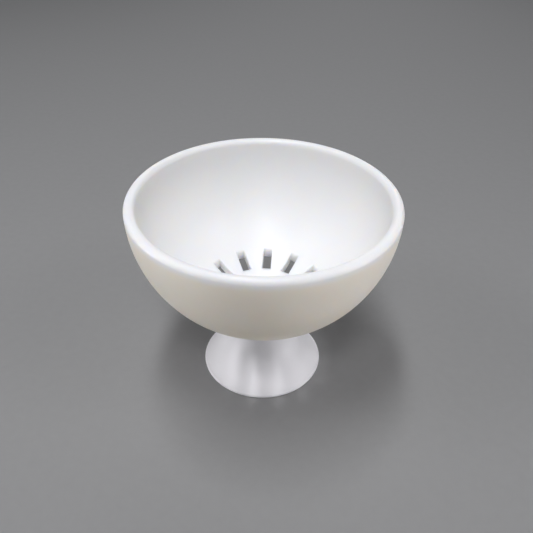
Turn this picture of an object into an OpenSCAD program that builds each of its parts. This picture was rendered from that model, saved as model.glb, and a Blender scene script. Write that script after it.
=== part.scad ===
// Footed flower bowl: a deep round bowl with a ring of stem slots in its floor,
// which plugs into a hollow trumpet foot and lifts straight off it.
// The origin is at the centre of the ring that stands on the table, with +Z up.

/* [Bowl] */
// Outside diameter of the bowl across its rim
bowl_d = 100; // [80:0.5:140]
// Outside depth of the bowl, from the top of the rim to its lowest point
bowl_depth = 52.5; // [42:0.5:70]
// Thickness of the bowl's wall at the rim, which is also the width of the round rim
bowl_wall = 4; // [2.5:0.1:5]
// Thickness of the bowl's floor
floor_wall = 3.4; // [2.5:0.1:5]
// Angle up from the lowest point at which the bottom curve hands over to the side curve
turn_angle = 48; // [35:1:60]

/* [Stem slots] */
// Number of slots round the floor of the bowl
slot_count = 13; // [6:1:13]
// Width of each slot
slot_w = 3.5; // [2:0.1:4]
// Distance from the bowl's axis to the inner end of each slot
slot_start = 17.2; // [16:0.1:20]
// Length of each slot along its radius
slot_len = 8.1; // [4:0.1:12]

/* [Foot] */
// Diameter of the foot where it stands on the table
foot_d = 49.8; // [40:0.1:70]
// Height of the bowl's lowest point above the table
bowl_lift = 28; // [24:0.5:40]
// Outside diameter of the foot's neck
neck_d = 23; // [21:0.5:30]
// Thickness of the foot's flared shell
foot_wall = 2.8; // [2:0.1:4]
// Radius of the round edge all round the base
lip_r = 0.75; // [0.5:0.05:1.5]
// Width of the ring that stands on the table, round edge included
ring_w = 5; // [4:0.1:6]
// Straight length of the neck above the flare
neck_len = 4; // [2:0.5:8]

/* [Plug and socket] */
// Diameter of the plug under the bowl
plug_d = 16; // [12:0.5:17]
// Length of the plug below its seat
plug_len = 12; // [8:0.5:16]
// Thickness of the hollow plug's wall
plug_wall = 2.4; // [1.6:0.1:3.5]
// Clearance between the plug and its socket, on the radius
plug_gap = 0.05; // [0.02:0.01:0.1]
// Depth of the socket below the end of the plug
socket_spare = 1.5; // [0.5:0.1:4]
// Height of the seat collar that stands below the bowl's lowest point
seat_drop = 2; // [1:0.1:4]
// Width of the key that stops the bowl turning on its foot
key_w = 3; // [2:0.1:5]
// Height of the key above the plug's surface
key_h = 1.2; // [0.8:0.1:1.8]
// Clearance of the key in its keyway, on each face
key_gap = 0.15; // [0.1:0.01:0.3]
// Size of the chamfer that leads the plug into the socket
lead_in = 0.8; // [0.3:0.1:1.2]

/* [Hidden] */
$fn = 128;
eps = 0.01;
margin = 1;
key_root = 1;

// Bowl: two arcs that share a tangent, the lower centred on the axis and the
// upper level with the widest ring
bowl_r = bowl_d / 2;
rim_r = bowl_wall / 2;
ring_z = bowl_lift + bowl_depth - rim_r;
arc_drop = bowl_depth - rim_r;
arc_step = (arc_drop - bowl_r) / (sin(turn_angle) + cos(turn_angle) - 1);
side_r = bowl_r + arc_step * sin(turn_angle);
bottom_r = arc_drop - arc_step * cos(turn_angle);
side_centre = [bowl_r - side_r, ring_z];
floor_sink = bowl_wall - floor_wall;
bottom_centre = [0, bowl_lift + bottom_r];

// Foot: the flare is an arc that leaves the neck upright and ends on the lip
foot_r = foot_d / 2;
neck_r = neck_d / 2;
seat_z = bowl_lift - seat_drop;
flare_top = seat_z - neck_len;
flare_run = foot_r - lip_r - neck_r;
flare_rise = flare_top - 2 * lip_r;
flare_r = (flare_run * flare_run + flare_rise * flare_rise) / (2 * flare_run);

// Plug and socket
plug_r = plug_d / 2;
plug_end = seat_z - plug_len;
socket_r = plug_r + plug_gap;
socket_end = plug_end - socket_spare;

// The sector between two angles from the +X direction, reaching past the bowl
module sector(centre, from, to) {
    reach = 2 * bowl_d;
    middle = (from + to) / 2;
    translate(centre)
        polygon([
            [0, 0],
            [reach * cos(from), reach * sin(from)],
            [reach * cos(middle), reach * sin(middle)],
            [reach * cos(to), reach * sin(to)]
        ]);
}

// Half of the bowl's outline in the XZ plane, drawn in by a wall, up to z = top.
// The larger arc's disc is trimmed to the smaller arc in the smaller arc's sector.
module dome(wall, top) {
    intersection() {
        translate([0, bowl_lift - margin])
            square([bowl_d, top - bowl_lift + margin]);
        if (side_r > bottom_r)
            difference() {
                translate(side_centre)
                    circle(side_r - wall);
                difference() {
                    sector(bottom_centre, -90 - turn_angle, turn_angle - 90);
                    translate(bottom_centre)
                        circle(bottom_r - wall);
                }
            }
        else
            difference() {
                translate(bottom_centre)
                    circle(bottom_r - wall);
                difference() {
                    sector(side_centre, turn_angle - 90, 90 - turn_angle);
                    translate(side_centre)
                        circle(side_r - wall);
                }
            }
    }
}

// A ring of square section, from radius r_in to r_out and from z0 to z1
module band(r_in, r_out, z0, z1) {
    translate([r_in, z0])
        square([r_out - r_in, z1 - z0]);
}

// The bowl's wall and its fully rounded rim. The inside is sunk under a short
// straight band, so that the floor is thinner than the rim.
module bowl_shell() {
    rotate_extrude() {
        difference() {
            dome(0, ring_z);
            translate([0, -floor_sink])
                dome(bowl_wall, ring_z);
            band(0, bowl_r - bowl_wall, ring_z - floor_sink, ring_z + margin);
        }
        translate([bowl_r - rim_r, ring_z])
            circle(rim_r);
    }
}

// The collar that seats on the neck, with the hollow plug below it
module bowl_plug() {
    difference() {
        rotate_extrude()
            difference() {
                union() {
                    band(0, neck_r, seat_z, ring_z);
                    band(0, plug_r, plug_end, seat_z + eps);
                }
                dome(floor_wall / 2, ring_z + margin);
                translate([plug_r, plug_end])
                    circle(r = lead_in, $fn = 4);
            }
        translate([0, 0, plug_end - margin])
            cylinder(r = plug_r - plug_wall, h = plug_len + margin);
    }
    translate([plug_r - key_root, -key_w / 2, plug_end + lead_in])
        cube([key_h + key_root, key_w, plug_len - lead_in + eps]);
}

// One slot through the floor, at the +Y side, from below the bowl to above it
module slot() {
    translate([-slot_w / 2, slot_start, bowl_lift])
        cube([slot_w, slot_len, bowl_depth]);
}

module bowl() {
    color([0.95, 0.95, 0.94])
        difference() {
            union() {
                bowl_shell();
                bowl_plug();
            }
            for (i = [0 : slot_count - 1])
                rotate(i * 360 / slot_count)
                    slot();
        }
}

// The flare, its neck, the socket's tube and the ring that stands on the table
module foot_shell() {
    rotate_extrude()
        difference() {
            union() {
                intersection() {
                    difference() {
                        band(0, foot_r - lip_r, 0, flare_top);
                        translate([neck_r + flare_r, flare_top])
                            circle(flare_r);
                    }
                    translate([neck_r + flare_r, flare_top])
                        circle(flare_r + foot_wall);
                }
                band(0, neck_r, socket_end, seat_z);
                band(foot_r - ring_w, foot_r - lip_r, 0, 2 * lip_r);
                translate([foot_r - lip_r, lip_r])
                    circle(lip_r);
            }
            band(0, socket_r, -margin, seat_z + margin);
        }
}

module foot() {
    color([0.93, 0.93, 0.95])
        difference() {
            foot_shell();
            translate([0, -key_w / 2 - key_gap, socket_end - margin])
                cube([plug_r + key_h + key_gap, key_w + 2 * key_gap, seat_z - socket_end + 2 * margin]);
        }
}

foot();
bowl();
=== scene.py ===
"""A white plastic flower frog: a round bowl with stem slots in its floor, plugged into a trumpet foot.

Both mouldings are closed surfaces of revolution worked out on a grid of profile rows and columns round
the axis. The bowl's floor is opened by straight slots, and the plug's key and its keyway are steps in
the radius of a few columns.
"""
import math

import bpy
import numpy as np
from mathutils import Matrix, Vector


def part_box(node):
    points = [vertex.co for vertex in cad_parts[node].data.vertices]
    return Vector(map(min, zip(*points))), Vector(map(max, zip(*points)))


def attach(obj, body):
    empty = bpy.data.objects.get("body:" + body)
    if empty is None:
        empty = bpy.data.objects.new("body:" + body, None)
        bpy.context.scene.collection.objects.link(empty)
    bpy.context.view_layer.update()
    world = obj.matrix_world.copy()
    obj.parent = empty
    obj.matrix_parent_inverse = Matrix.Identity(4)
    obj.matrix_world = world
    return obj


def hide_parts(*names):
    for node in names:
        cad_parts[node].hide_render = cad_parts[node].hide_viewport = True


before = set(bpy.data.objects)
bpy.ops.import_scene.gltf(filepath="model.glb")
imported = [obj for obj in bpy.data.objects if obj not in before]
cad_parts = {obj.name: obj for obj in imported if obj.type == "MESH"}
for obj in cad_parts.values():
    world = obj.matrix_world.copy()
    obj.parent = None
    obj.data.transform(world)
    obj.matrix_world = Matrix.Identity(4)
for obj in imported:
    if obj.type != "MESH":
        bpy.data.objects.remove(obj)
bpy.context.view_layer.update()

# ---------------------------------------------------------------- sizes, in millimetres
MM = 0.001
bowl_low, bowl_high = (np.array(corner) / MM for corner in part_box("bowl"))
foot_low, foot_high = (np.array(corner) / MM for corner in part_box("foot"))

BOWL_R = (bowl_high[0] - bowl_low[0]) / 2
RIM_TOP = bowl_high[2]
PLUG_END = bowl_low[2]
SEAT_Z = foot_high[2]
FOOT_R = (foot_high[0] - foot_low[0]) / 2

WALL = 4.0                      # bowl's wall at the rim, and the width of its round rim
FLOOR_WALL = 3.4
SEAT_DROP = 2.0                 # seat below the bowl's lowest point
TURN = math.radians(48)         # where the bottom arc hands over to the side arc
SLOTS = 13
SLOT_W = 3.5
SLOT_START = 17.2
SLOT_END = 25.3
SLOT_EDGE = 0.8                 # how far the slots' outer ends are rounded over
EDGE_SHARE = 0.4                # the slots' other edges, as a share of that
NECK_R = 11.5
NECK_LEN = 4.0
LIP_R = 0.75                    # round edge of the foot at the table
FOOT_WALL = 2.8
RING_W = 5.0                    # ring that stands on the table, round edge included
PLUG_R = 8.0
PLUG_WALL = 2.4
PLUG_GAP = 0.05
SOCKET_SPARE = 1.5
KEY_W = 3.0
KEY_H = 1.2
KEY_GAP = 0.15
LEAD_IN = 0.8
EDGE = 0.35                     # radius of the small outside corners
COLLAR_FILLET = 1.2             # radius where the collar meets the bowl
PAINTED_GLOW_DROP = 2.5                # how far below its widest ring the bowl's outside is fully under the painted warm glow of light through the wall

# ---------------------------------------------------------------- derived sizes
RIM_R = WALL / 2
RING_Z = RIM_TOP - RIM_R
POLE_Z = SEAT_Z + SEAT_DROP
ARC_DROP = RING_Z - POLE_Z
ARC_STEP = (ARC_DROP - BOWL_R) / (math.sin(TURN) + math.cos(TURN) - 1)
SIDE_R = BOWL_R + ARC_STEP * math.sin(TURN)
BOTTOM_R = ARC_DROP - ARC_STEP * math.cos(TURN)
SINK = (WALL - FLOOR_WALL) / WALL   # the inside sits lower by this share of its inset
FLARE_TOP = SEAT_Z - NECK_LEN
FLARE_RUN = FOOT_R - LIP_R - NECK_R
FLARE_RISE = FLARE_TOP - 2 * LIP_R
FLARE_R = (FLARE_RUN ** 2 + FLARE_RISE ** 2) / (2 * FLARE_RUN)
SOCKET_R = PLUG_R + PLUG_GAP
SOCKET_END = PLUG_END - SOCKET_SPARE

# Grid cells across each slot, along it and across the rib beside it, and the rows, 1 mm apart, that also
# run straight across it before and past its ends
SLOT_COLUMNS = 4
SLOT_ROWS = 8
RIB_COLUMNS = 16
LEAD_ROWS = 2
SECTOR = 2 * math.pi / SLOTS


# ---------------------------------------------------------------- profiles
def dome_z(r, inset):
    """Height of the bowl's wall at radius r, inset from its outside: one circle arc centred on the axis
    as far as the turn, and from there one centred level with the widest ring."""
    bottom, side, sink = BOTTOM_R - inset, SIDE_R - inset, inset * SINK
    low = POLE_Z + BOTTOM_R - np.sqrt(np.maximum(bottom ** 2 - r ** 2, 0))
    high = RING_Z - np.sqrt(np.maximum(side ** 2 - (r - BOWL_R + SIDE_R) ** 2, 0))
    return np.where(r <= bottom * math.sin(TURN), low, high) - sink


def dome_arc(r_from, inset, count):
    """Points of the wall's profile from radius r_from up to the widest ring, evenly spaced by angle on
    each of the two arcs."""
    bottom, side = BOTTOM_R - inset, SIDE_R - inset
    start = math.asin(r_from / bottom)
    first = max(2, round(count * (TURN - start) / (math.pi / 2 - start)))
    a = np.linspace(start, TURN, first, endpoint=False)
    b = np.linspace(TURN, math.pi / 2, count - first)
    r = np.concatenate([bottom * np.sin(a), BOWL_R - SIDE_R + side * np.sin(b)])
    z = np.concatenate([POLE_Z + BOTTOM_R - bottom * np.cos(a), RING_Z - side * np.cos(b)])
    return np.column_stack([r, z - inset * SINK])


def arc(centre, radius, start, end, count):
    """Points of a circle arc in the profile plane, between two angles in degrees."""
    a = np.radians(np.linspace(start, end, count))
    return np.column_stack([centre[0] + radius * np.cos(a), centre[1] + radius * np.sin(a)])


def line(start, end, count):
    """Points evenly spaced along a straight line, without its last point."""
    t = np.linspace(0, 1, count, endpoint=False)[:, None]
    return (1 - t) * np.array(start) + t * np.array(end)


# ---------------------------------------------------------------- grids and meshes
def columns():
    """For each column: the slot it belongs to, its place across the slot from -1 to 1, and its place
    along the rib that follows from 0 to 1. A slot's edge column is both 1 across and 0 along."""
    across = np.linspace(-1, 1, SLOT_COLUMNS + 1)
    along = np.linspace(0, 1, RIB_COLUMNS + 1)[1:-1]
    one_across = np.concatenate([across, np.ones(len(along))])
    one_along = np.concatenate([np.zeros(len(across)), along])
    slot = np.repeat(np.arange(SLOTS), len(one_across))
    return slot, np.tile(one_across, SLOTS), np.tile(one_along, SLOTS)


def spin(profile):
    """Grid of points, rows by columns by XYZ, of a profile turned round the axis. Near the slots a row
    runs straight across each slot, so that the slots' sides and ends are straight; elsewhere it is a
    true circle."""
    slot, across, along = columns()
    r, z = profile[:, :1], profile[:, 1:]
    slot_half = np.arctan(SLOT_W / 2 / np.clip(r, SLOT_START - LEAD_ROWS, SLOT_END + LEAD_ROWS))
    local = np.arctan(np.tan(slot_half) * across)
    angle = slot * SECTOR + local + along * (SECTOR - 2 * slot_half)
    azimuth = math.pi / 2 + angle
    return np.stack([r * np.cos(azimuth), r * np.sin(azimuth), z + 0 * azimuth], axis=2)


def step_key(grid, rows, half_width, radius):
    """Moves the points of some rows out to a radius where they lie within a key's half width of +X."""
    part = grid[rows]
    r = np.hypot(part[..., 0], part[..., 1])
    inside = (np.abs(part[..., 1]) <= half_width * r / radius) & (part[..., 0] > 0)
    scale = np.where(inside, radius / r, 1.0)
    part[..., 0] *= scale
    part[..., 1] *= scale
    grid[rows] = part


def quads(rows, cols, ring):
    """Faces between neighbouring rows and columns of a grid that is closed round its ring of columns."""
    i, j = np.meshgrid(rows, cols, indexing="ij")
    k = (j + 1) % ring
    return np.stack([i * ring + j, i * ring + k, (i + 1) * ring + k, (i + 1) * ring + j], axis=-1)


def make_piece(name, points, faces, body, node):
    """A mesh piece from points in millimetres and lists of faces, turned to face outwards by the sign
    of its volume, with unused points left out. Returns it with the new place of each point."""
    used = np.unique(np.concatenate([np.asarray(f).ravel() for f in faces]))
    place = np.full(len(points), -1)
    place[used] = np.arange(len(used))
    points = points[used]
    faces = [place[np.asarray(f)] for f in faces]
    volume = 0.0
    for block in faces:
        for k in range(1, block.shape[1] - 1):
            a, b, c = points[block[:, 0]], points[block[:, k]], points[block[:, k + 1]]
            volume += np.einsum("ij,ij->i", a, np.cross(b, c)).sum() / 6
    if volume < 0:
        faces = [block[:, ::-1] for block in faces]
    mesh = bpy.data.meshes.new(name)
    mesh.from_pydata((points * MM).tolist(), [], [f for block in faces for f in block.tolist()])
    mesh.validate()
    mesh.shade_smooth()
    piece = bpy.data.objects.new(name, mesh)
    bpy.context.scene.collection.objects.link(piece)
    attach(piece, body)
    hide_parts(node)
    return piece, place


# ---------------------------------------------------------------- bowl
def make_bowl():
    """The bowl's profile runs from the floor's centre up the inside, over the rim, down the outside, and
    down and up the hollow plug. The faces over each slot are left out of the floor's two sides, and
    straight walls join the two openings."""
    zone = np.concatenate([
        SLOT_START - np.arange(LEAD_ROWS, 0, -1),
        np.linspace(SLOT_START, SLOT_END, SLOT_ROWS + 1),
        SLOT_END + np.arange(1, LEAD_ROWS + 1),
    ])
    near = np.linspace(SLOT_START - 3, 1.2, 9)
    inside = np.concatenate([
        np.column_stack([near[::-1], dome_z(near[::-1], WALL)]),
        np.column_stack([zone, dome_z(zone, WALL)]),
        dome_arc(SLOT_END + 3.2, WALL, 34),
    ])
    rim = arc((BOWL_R - RIM_R, RING_Z), RIM_R, 180, 0, 19)[:-1]
    fillet = COLLAR_FILLET
    collar = np.linspace(SLOT_START - 3, NECK_R + fillet + 0.6, 3)
    outside = np.concatenate([
        dome_arc(SLOT_END + 3.2, 0, 34)[::-1],
        np.column_stack([zone, dome_z(zone, 0)])[::-1],
        np.column_stack([collar, dome_z(collar, 0)]),
    ])
    shoulder = float(dome_z(np.array(NECK_R + fillet), 0))
    neck = np.concatenate([
        arc((NECK_R + fillet, shoulder - fillet), fillet, 90, 180, 7),
        line((NECK_R, shoulder - fillet - 0.3), (NECK_R, SEAT_Z + EDGE), 2),
        arc((NECK_R - EDGE, SEAT_Z + EDGE), EDGE, 0, -90, 5),
        line((NECK_R - EDGE - 0.6, SEAT_Z), (PLUG_R, SEAT_Z), 3),
    ])
    bore = PLUG_R - PLUG_WALL
    key_rows = 8
    plug = np.concatenate([
        line((PLUG_R, SEAT_Z - 0.02), (PLUG_R, PLUG_END + LEAD_IN), key_rows),
        line((PLUG_R, PLUG_END + LEAD_IN), (PLUG_R - LEAD_IN, PLUG_END), 3),
        line((PLUG_R - LEAD_IN, PLUG_END), (bore + EDGE, PLUG_END), 3),
        arc((bore + EDGE, PLUG_END + EDGE), EDGE, -90, -180, 4),
        line((bore, PLUG_END + EDGE + 0.5), (bore, SEAT_Z - EDGE), 6),
        arc((bore - EDGE, SEAT_Z - EDGE), EDGE, 0, 90, 4),
        line((bore - EDGE - 0.8, SEAT_Z), (0.8, SEAT_Z), 4),
    ])
    profile = np.concatenate([inside, rim, outside, neck, plug])
    grid = spin(profile)
    ring = grid.shape[1]

    # Rows over the slots run straight across them, so each point's height is set from its own radius
    stretch = np.hypot(1, (SLOT_W / 2 / zone)[:, None] * columns()[1])
    inner_first = len(near)
    outer_last = len(inside) + len(rim) + len(outside) - len(collar) - 1
    inner_rows = inner_first + np.arange(len(zone))
    outer_rows = outer_last - np.arange(len(zone))
    for rows, inset in ((inner_rows, WALL), (outer_rows, 0)):
        grid[rows, :, :2] *= stretch[:, :, None]
        grid[rows, :, 2] = dome_z(np.hypot(grid[rows, :, 0], grid[rows, :, 1]), inset)

    key_first = len(profile) - len(plug)
    step_key(grid, np.arange(key_first, key_first + key_rows), KEY_W / 2, PLUG_R + KEY_H)

    # Faces, with the cells over the slots taken out of the inside and outside floors
    rows, cols = np.arange(len(profile) - 1), np.arange(ring)
    faces = quads(rows, cols, ring)
    keep = np.ones(faces.shape[:2], bool)
    per_sector = ring // SLOTS
    over_slot = (cols % per_sector) < SLOT_COLUMNS
    inner_cut = inner_rows[LEAD_ROWS]
    outer_cut = outer_rows[LEAD_ROWS + SLOT_ROWS]
    for cut in (inner_cut, outer_cut):
        keep[cut:cut + SLOT_ROWS, over_slot] = False
    shell = faces[keep]

    # Slot walls: each edge of an inside opening is joined to the same edge of the outside opening. The
    # openings' edges take a share of the rounding, the whole of it at the inside's outer end.
    offset = outer_rows[0] + inner_rows[0]
    walls = []
    rounded = []
    for s in range(SLOTS):
        left = s * per_sector
        right = left + SLOT_COLUMNS
        start, end = inner_cut, inner_cut + SLOT_ROWS
        loop = [(start, c) for c in range(left, right)]
        loop += [(r, right) for r in range(start, end)]
        loop += [(end, c) for c in range(right, left, -1)]
        loop += [(r, left) for r in range(end, start, -1)]
        loop = np.array(loop)
        following = np.roll(loop, -1, axis=0)
        upper = loop[:, 0] * ring + loop[:, 1]
        upper_next = following[:, 0] * ring + following[:, 1]
        lower = (offset - loop[:, 0]) * ring + loop[:, 1]
        lower_next = (offset - following[:, 0]) * ring + following[:, 1]
        walls.append(np.column_stack([upper, upper_next, lower_next, lower]))
        at_end = (loop[:, 0] == end) & (following[:, 0] == end)
        rounded.append(np.column_stack([upper, upper_next, np.where(at_end, 1.0, EDGE_SHARE)]))
        rounded.append(np.column_stack([lower, lower_next, np.full(len(loop), EDGE_SHARE)]))

    # Poles: the floor's centre and the centre of the plug's ceiling
    points = grid.reshape(-1, 3)
    floor_z = float(dome_z(np.array(0.0), WALL))
    points = np.concatenate([points, [[0, 0, floor_z], [0, 0, SEAT_Z]]])
    around = np.arange(ring)
    floor_cap = np.column_stack([(around + 1) % ring, around, np.full(ring, len(points) - 2)])
    last = (len(profile) - 1) * ring
    ceiling_cap = np.column_stack([last + around, last + (around + 1) % ring,
                                   np.full(ring, len(points) - 1)])
    piece, place = make_piece("slotted_bowl", points,
                              [shell, np.concatenate(walls), floor_cap, ceiling_cap],
                              "bowl", "bowl")
    edges = np.concatenate(rounded)
    round_edges(piece.data, place[edges[:, :2].astype(int)], edges[:, 2])
    bevel = piece.modifiers.new("slot_edges", "BEVEL")
    bevel.limit_method = "WEIGHT"
    bevel.width = SLOT_EDGE * MM
    bevel.segments = 4
    bevel.use_clamp_overlap = False
    return piece


def round_edges(mesh, pairs, weights):
    """Writes the share of a Bevel modifier's width that the edge between each pair of points takes."""
    ends = np.empty(len(mesh.edges) * 2, int)
    mesh.edges.foreach_get("vertices", ends)
    ends = np.sort(ends.reshape(-1, 2), axis=1)
    keys = ends[:, 0] * len(mesh.vertices) + ends[:, 1]
    pairs = np.sort(pairs, axis=1)
    wanted = pairs[:, 0] * len(mesh.vertices) + pairs[:, 1]
    order = np.argsort(keys)
    found = order[np.searchsorted(keys[order], wanted)]
    share = np.zeros(len(keys))
    share[found] = weights
    mesh.attributes.new("bevel_weight_edge", "FLOAT", "EDGE").data.foreach_set("value", share)


# ---------------------------------------------------------------- foot
def make_foot():
    """The foot's profile runs from the seat down the neck, out along the flare's arc, round the lip,
    along the standing ring and over its step, up the inside of the flare, and up the socket to the
    seat."""
    centre = (NECK_R + FLARE_R, FLARE_TOP)
    lip_angle = math.degrees(math.asin(FLARE_RISE / FLARE_R))
    inner_r = FLARE_R + FOOT_WALL
    ring_in = FOOT_R - RING_W
    ring_angle = math.degrees(math.acos((centre[0] - ring_in) / inner_r))
    tube_angle = math.degrees(math.asin((FLARE_TOP - SOCKET_END) / inner_r))
    flare = arc(centre, FLARE_R, 180, 180 + lip_angle, 34)
    hollow = arc(centre, inner_r, 180 + ring_angle, 180 + tube_angle, 26)
    profile = np.concatenate([
        line((SOCKET_R + EDGE, SEAT_Z), (NECK_R - EDGE, SEAT_Z), 4),
        arc((NECK_R - EDGE, SEAT_Z - EDGE), EDGE, 90, 0, 5),
        line((NECK_R, SEAT_Z - EDGE - 0.5), (NECK_R, FLARE_TOP + 0.5), 5),
        flare[:-1],
        arc((FOOT_R - LIP_R, LIP_R), LIP_R, 90, -90, 15),
        line((FOOT_R - LIP_R - 0.6, 0), (ring_in + EDGE, 0), 4),
        arc((ring_in + EDGE, EDGE), EDGE, -90, -180, 4),
        hollow,
        line((hollow[-1][0] - 0.3, SOCKET_END), (SOCKET_R + EDGE, SOCKET_END), 3),
        arc((SOCKET_R + EDGE, SOCKET_END + EDGE), EDGE, -90, -180, 4),
        line((SOCKET_R, SOCKET_END + EDGE + 0.3), (SOCKET_R, SEAT_Z - EDGE), 12),
        arc((SOCKET_R + EDGE, SEAT_Z - EDGE), EDGE, 180, 90, 4)[:-1],
    ])
    grid = spin(profile)
    ring = grid.shape[1]
    bore = np.flatnonzero(profile[:, 0] < SOCKET_R + EDGE - 0.01)
    step_key(grid, bore, KEY_W / 2 + KEY_GAP, PLUG_R + KEY_H + KEY_GAP)
    faces = quads(np.arange(len(profile) - 1), np.arange(ring), ring).reshape(-1, 4)
    j = np.arange(ring)
    k = (j + 1) % ring
    last = (len(profile) - 1) * ring
    seam = np.column_stack([last + j, last + k, k, j])
    return make_piece("trumpet_foot", grid.reshape(-1, 3), [faces, seam],
                      "foot", "foot")[0]


# ---------------------------------------------------------------- materials
def linear(code):
    """Linear RGBA of an sRGB hex colour."""
    parts = [int(code[k:k + 2], 16) / 255 for k in (0, 2, 4)]
    return [c / 12.92 if c <= 0.04045 else ((c + 0.055) / 1.055) ** 2.4 for c in parts] + [1.0]


# A colour Mix node's two colour inputs and its colour output, which share their names with others
MIX_A, MIX_B, MIXED = 6, 7, 2


def add_node(tree, kind, settings=None, links=None):
    """One node, with its properties or input values set and its inputs linked, by name or by number."""
    node = tree.nodes.new(kind)
    for key, value in (settings or {}).items():
        if isinstance(key, int) or key in node.inputs:
            node.inputs[key].default_value = value
        else:
            setattr(node, key, value)
    for key, source in (links or {}).items():
        tree.links.new(source, node.inputs[key])
    return node


def painted_glow_share(tree, place):
    """How far a point is on the bowl's outside, from 0 to 1, as the mask of the painted warm glow of
    light
    through the wall: the dot product of its normal with the way from the widest ring's centre, and in
    full only from a little below that ring. The product is about 50 mm on the outside, at most 25 mm on
    the slots' walls and below nothing inside."""
    out_from = add_node(tree, "ShaderNodeVectorMath", {"operation": "SUBTRACT", 1: (0, 0, RING_Z * MM)},
                        {0: place})
    facing = add_node(tree, "ShaderNodeVectorMath", {"operation": "DOT_PRODUCT"},
                      {0: out_from.outputs["Vector"],
                       1: add_node(tree, "ShaderNodeTexCoord").outputs["Normal"]})
    outside = add_node(tree, "ShaderNodeMapRange",
                       {"interpolation_type": "SMOOTHSTEP", "From Min": 0.026, "From Max": 0.044},
                       {"Value": facing.outputs["Value"]})
    height = add_node(tree, "ShaderNodeSeparateXYZ", {}, {"Vector": place})
    below_rim = add_node(tree, "ShaderNodeMapRange",
                         {"interpolation_type": "SMOOTHSTEP", "From Min": RING_Z * MM,
                          "From Max": (RING_Z - PAINTED_GLOW_DROP) * MM}, {"Value": height.outputs["Z"]})
    return add_node(tree, "ShaderNodeMath", {"operation": "MULTIPLY"},
                    {0: outside.outputs["Result"], 1: below_rim.outputs["Result"]}).outputs[0]


def moulded_polypropylene(name, pale, deep, scatter, roughness, outside=None):
    """Moulded white polypropylene: milky and slightly translucent, with a satin skin. Its colour drifts
    softly where the melt flowed, and the mould's fine spark-eroded grain breaks up its highlights. Given
    two outside colours, it also gets a painted warm glow that turns the bowl's outside creamier, standing
    in for light that reaches through the wall."""
    material = bpy.data.materials.new(name)
    material.use_nodes = True
    tree = material.node_tree
    tree.nodes.clear()
    place = add_node(tree, "ShaderNodeTexCoord").outputs["Object"]
    # flow clouds about 25 mm across
    clouds = add_node(tree, "ShaderNodeTexNoise", {"Scale": 1 / 0.025, "Detail": 3.0}, {"Vector": place})
    colour = add_node(tree, "ShaderNodeMix",
                      {"data_type": "RGBA", MIX_A: linear(pale), MIX_B: linear(deep)},
                      {"Factor": clouds.outputs["Fac"]}).outputs[MIXED]
    # outside holds the two colours of a painted warm glow, light reaching through the wall painted as
    # cream on the bowl's outside
    if outside:
        painted_glow = add_node(tree, "ShaderNodeMix",
                         {"data_type": "RGBA", MIX_A: linear(outside[0]), MIX_B: linear(outside[1])},
                         {"Factor": clouds.outputs["Fac"]}).outputs[MIXED]
        colour = add_node(tree, "ShaderNodeMix", {"data_type": "RGBA"},
                          {"Factor": painted_glow_share(tree, place), MIX_A: colour,
                           MIX_B: painted_glow}).outputs[MIXED]
    # handling marks about 6 mm across change the gloss a little
    marks = add_node(tree, "ShaderNodeTexNoise", {"Scale": 1 / 0.006, "Detail": 4.0}, {"Vector": place})
    gloss = add_node(tree, "ShaderNodeMapRange",
                     {"From Min": 0.3, "From Max": 0.7, "To Min": roughness - 0.05,
                      "To Max": roughness + 0.06},
                     {"Value": marks.outputs["Fac"]})
    # mould grain 0.35 mm apart, 4 micrometres deep
    grain = add_node(tree, "ShaderNodeTexNoise", {"Scale": 1 / 0.00035, "Detail": 2.0}, {"Vector": place})
    bump = add_node(tree, "ShaderNodeBump", {"Strength": 0.5, "Distance": 0.000004},
                    {"Height": grain.outputs["Fac"]})
    skin = add_node(tree, "ShaderNodeBsdfPrincipled",
                    {"IOR": 1.49, "Subsurface Weight": 1.0, "Subsurface Scale": 1.0,
                     "Subsurface Radius": scatter},
                    {"Base Color": colour, "Roughness": gloss.outputs["Result"],
                     "Normal": bump.outputs["Normal"]})
    add_node(tree, "ShaderNodeOutputMaterial", {}, {"Surface": skin.outputs["BSDF"]})
    return material


def pale_table():
    """The studio's matt pale floor, plain with a faint mottle."""
    material = bpy.data.materials.new("matt_pale_board")
    material.use_nodes = True
    tree = material.node_tree
    tree.nodes.clear()
    place = add_node(tree, "ShaderNodeTexCoord").outputs["Object"]
    mottle = add_node(tree, "ShaderNodeTexNoise", {"Scale": 1 / 0.004, "Detail": 3.0}, {"Vector": place})
    colour = add_node(tree, "ShaderNodeMix",
                      {"data_type": "RGBA", MIX_A: linear("8D8D8C"), MIX_B: linear("929291")},
                      {"Factor": mottle.outputs["Fac"]})
    board = add_node(tree, "ShaderNodeBsdfPrincipled", {"Roughness": 0.85},
                     {"Base Color": colour.outputs[MIXED]})
    add_node(tree, "ShaderNodeOutputMaterial", {}, {"Surface": board.outputs["BSDF"]})
    return material


# ---------------------------------------------------------------- studio
def make_camera():
    """A camera at the height and distance of someone looking down into the bowl. It starts level, looking
    along +Y, is nodded down, swung and tilted, and is then carried a little way round the bowl's axis."""
    camera = bpy.data.objects.new("camera", bpy.data.cameras.new("camera"))
    bpy.context.scene.collection.objects.link(camera)
    lens_per_width = 1.105
    camera.data.sensor_width = 36
    camera.data.lens = camera.data.sensor_width * lens_per_width
    camera.data.clip_start = 0.01
    distance, height = 184.4, 187.1     # millimetres
    pitch, yaw, roll, round_axis = (math.radians(a) for a in (36.91, 0.32, 0.69, 4.5))
    # rows of the view are the picture's right, its down and its depth
    level = Matrix(((1, 0, 0), (0, 0, -1), (0, 1, 0)))
    nod = Matrix.Rotation(pitch, 3, "X")
    swing = Matrix.Rotation(-yaw, 3, "Y")
    tilt = Matrix.Rotation(roll, 3, "Z")
    view = tilt @ swing @ nod @ level
    axes = Matrix((view[0], -Vector(view[1]), -Vector(view[2]))).transposed().to_4x4()
    stand = Matrix.Translation((0, -distance * MM, height * MM))
    camera.matrix_world = Matrix.Rotation(round_axis, 4, "Z") @ stand @ axes
    bpy.context.scene.camera = camera


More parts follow.
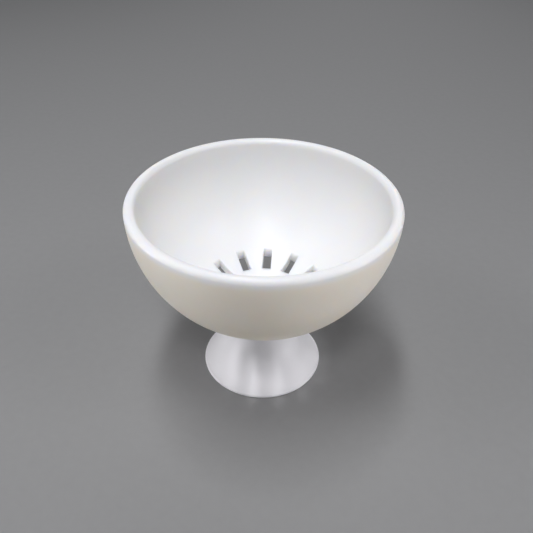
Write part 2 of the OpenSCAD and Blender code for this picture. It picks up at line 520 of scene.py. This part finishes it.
def soft_light(name, place, size, power, colour, spread=180):
    """A rectangular soft light of a width and a length, square on to the bowl unless it hangs over it.
    A spread under 180 degrees is a honeycomb grid, which keeps the light off the floor beside it."""
    light = bpy.data.objects.new(name, bpy.data.lights.new(name, "AREA"))
    bpy.context.scene.collection.objects.link(light)
    light.data.shape = "RECTANGLE"
    light.data.size, light.data.size_y = size
    light.data.energy = power
    light.data.color = linear(colour)[:3]
    light.data.spread = math.radians(spread)
    light.location = place
    aim = Vector((0, 0, RIM_TOP / 2 * MM)) - Vector(place)
    if abs(aim.z) < 3 * Vector(aim[:2]).length:
        light.rotation_euler = aim.to_track_quat("-Z", "Y").to_euler()


def make_studio():
    """A pale floor, an even pale surround, a strip lamp overhead that shines through the slots onto the
    foot, and soft panels all round."""
    floor = bpy.data.objects.new("floor", bpy.data.meshes.new("floor"))
    half = 1.3      # metres
    floor.data.from_pydata([(-half, -half, 0), (half, -half, 0), (half, half, 0), (-half, half, 0)],
                           [], [(0, 1, 2, 3)])
    bpy.context.scene.collection.objects.link(floor)
    floor.data.materials.append(pale_table())
    world = bpy.data.worlds.new("surround")
    bpy.context.scene.world = world
    world.use_nodes = True
    tree = world.node_tree
    tree.nodes.clear()
    # the room lights the model faintly and is seen as a pale wall
    room = add_node(tree, "ShaderNodeBackground", {"Color": linear("EEF1F6"), "Strength": 0.125})
    wall = add_node(tree, "ShaderNodeBackground", {"Color": linear("9A9B9D"), "Strength": 1.0})
    seen = add_node(tree, "ShaderNodeMixShader", {},
                    {0: add_node(tree, "ShaderNodeLightPath").outputs["Is Camera Ray"],
                     1: room.outputs["Background"], 2: wall.outputs["Background"]})
    add_node(tree, "ShaderNodeOutputWorld", {}, {"Surface": seen.outputs["Shader"]})
    soft_light("overhead_lamp", (-0.10, -0.05, 1.0), (0.10, 0.50), 4.3, "FAFBFF")
    soft_light("left_panel", (-0.75, -0.20, 0.80), (0.30, 0.30), 1.4, "FBFAFF")
    soft_light("right_panel", (0.75, -0.20, 0.80), (0.30, 0.30), 1.2, "FBFAFF")
    soft_light("front_panel", (0.0, -0.55, 0.86), (0.20, 0.20), 2.2, "FBFAFF")
    soft_light("low_left_panel", (-0.70, -0.12, 0.05), (0.20, 0.09), 0.145, "FBFAFF", 50)
    soft_light("low_right_panel", (0.70, -0.12, 0.05), (0.20, 0.09), 0.145, "FBFAFF", 50)
    soft_light("back_panel", (0.1, 0.85, 0.45), (0.40, 0.40), 0.8, "FBFAFF")
    bpy.context.scene.view_settings.view_transform = "Standard"


make_camera()
make_studio()
bowl = make_bowl()
foot = make_foot()
# the bowl's last two colours are the painted warm glow of light through its wall on its outside
bowl.data.materials.append(moulded_polypropylene(
    "white_polypropylene_bowl", "F5F5F5", "F3F3F2", (0.0032, 0.0028, 0.0023), 0.38, ("FAF4EE", "F0ECDD")))
# the foot's faint lavender is partly its own bluer white and partly painted cool light on its upturned
# flare
foot.data.materials.append(moulded_polypropylene(
    "white_polypropylene_foot", "F9F5FF", "F7F3FD", (0.0022, 0.0022, 0.0022), 0.42))
